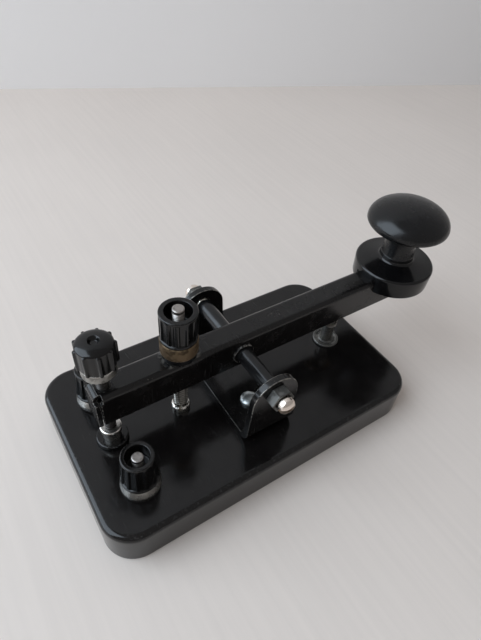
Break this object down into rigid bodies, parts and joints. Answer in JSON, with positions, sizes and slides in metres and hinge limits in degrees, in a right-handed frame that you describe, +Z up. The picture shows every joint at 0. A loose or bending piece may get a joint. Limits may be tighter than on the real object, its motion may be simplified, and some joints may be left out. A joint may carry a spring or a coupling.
{
  "type": "telegraph key",
  "caption": "Straight telegraph key: a rocking channel lever with a skirted knob, spring and gap adjusters and two wire terminals on a moulded base.",
  "frame": {"origin": "middle of the base's underside, on the surface that the key rests on, under the pivot axis", "axes": "+X along the lever from the pivot towards the knob, +Y across the lever away from the near terminal, +Z up"},
  "size_m": [0.1585, 0.075, 0.0747],
  "materials": {
    "bakelite": "polished black bakelite, lightly scuffed and dusty",
    "black_paint": "black enamel on sheet steel, worn at the edges",
    "nickel": "nickel plate, dulled and slightly stained",
    "zinc": "zinc plated steel, matt and slightly blue",
    "brass": "tarnished brass with brown patches",
    "spring_steel": "bright spring wire, slightly oiled"
  },
  "bodies": {
    "root": {"base": "bakelite", "fulcrum_bracket": "black_paint", "bracket_screws": "zinc", "pivot_screw_near": "nickel", "pivot_screw_far": "nickel", "pivot_lock_nut_near": "zinc", "pivot_lock_nut_far": "zinc", "rear_contact_post": "nickel", "rear_post_ring": "bakelite", "front_contact_post": "nickel", "front_post_foot": "nickel", "spring_anchor": "zinc", "terminal_studs": "zinc", "terminal_seat_nuts": "nickel", "underside_nuts": "brass", "strap_front": "brass", "strap_bracket": "brass", "return_spring": "spring_steel"},
    "lever": {"lever": "black_paint", "axle": "black_paint", "axle_collars": "black_paint", "contact_bridge": "brass", "lever_contact": "nickel", "knob": "bakelite", "knob_skirt": "bakelite", "knob_screw": "zinc", "knob_washer": "zinc", "gap_bush": "brass", "gap_lock_nut": "nickel", "spring_collar": "brass"},
    "gap_screw": {"gap_screw": "nickel"},
    "gap_cap": {"gap_cap": "bakelite"},
    "spring_stud": {"spring_stud": "zinc"},
    "spring_nut": {"spring_nut": "bakelite", "spring_nut_bush": "brass"},
    "terminal_bush_near": {"terminal_bush_near": "brass"},
    "terminal_cap_near": {"terminal_cap_near": "bakelite"},
    "terminal_bush_far": {"terminal_bush_far": "brass"},
    "terminal_cap_far": {"terminal_cap_far": "bakelite"}
  },
  "joints": [
    {"name": "lever_press", "type": "hinge", "parent": "root", "child": "lever", "pos_m": [0, 0, 0.038], "axis": [0, 1, 0], "range_deg": [0, 1.4], "stiffness_Nm_per_rad": 1, "springref_deg": -8.59, "deforming": ["return_spring"]},
    {"name": "gap_rise", "type": "slide", "parent": "lever", "child": "gap_screw", "axis": [0, 0, 1], "range_m": [0, 0.0014]},
    {"name": "gap_turn", "type": "hinge", "parent": "gap_screw", "child": "gap_cap", "pos_m": [-0.0494, 0, 0.05], "axis": [0, 0, 1], "range_deg": [0, 720]},
    {"name": "spring_lift", "type": "slide", "parent": "lever", "child": "spring_stud", "axis": [0, 0, 1], "range_m": [-0.0007, 0.0007]},
    {"name": "spring_turn", "type": "hinge", "parent": "lever", "child": "spring_nut", "pos_m": [-0.0226, 0, 0.055], "axis": [0, 0, 1], "range_deg": [-360, 360]},
    {"name": "terminal_near_rise", "type": "slide", "parent": "root", "child": "terminal_bush_near", "axis": [0, 0, 1], "range_m": [0, 0.0028]},
    {"name": "terminal_near_turn", "type": "hinge", "parent": "terminal_bush_near", "child": "terminal_cap_near", "pos_m": [-0.048, -0.02, 0.025], "axis": [0, 0, 1], "range_deg": [0, 1440]},
    {"name": "terminal_far_rise", "type": "slide", "parent": "root", "child": "terminal_bush_far", "axis": [0, 0, 1], "range_m": [0, 0.0028]},
    {"name": "terminal_far_turn", "type": "hinge", "parent": "terminal_bush_far", "child": "terminal_cap_far", "pos_m": [-0.048, 0.02, 0.025], "axis": [0, 0, 1], "range_deg": [0, 1440]}
  ],
  "couplings": [
    {"joint": "gap_turn", "follows": "gap_rise", "rad_per_m": 8975},
    {"joint": "spring_turn", "follows": "spring_lift", "rad_per_m": -8975},
    {"joint": "terminal_near_turn", "follows": "terminal_near_rise", "rad_per_m": 8975},
    {"joint": "terminal_far_turn", "follows": "terminal_far_rise", "rad_per_m": 8975}
  ]
}
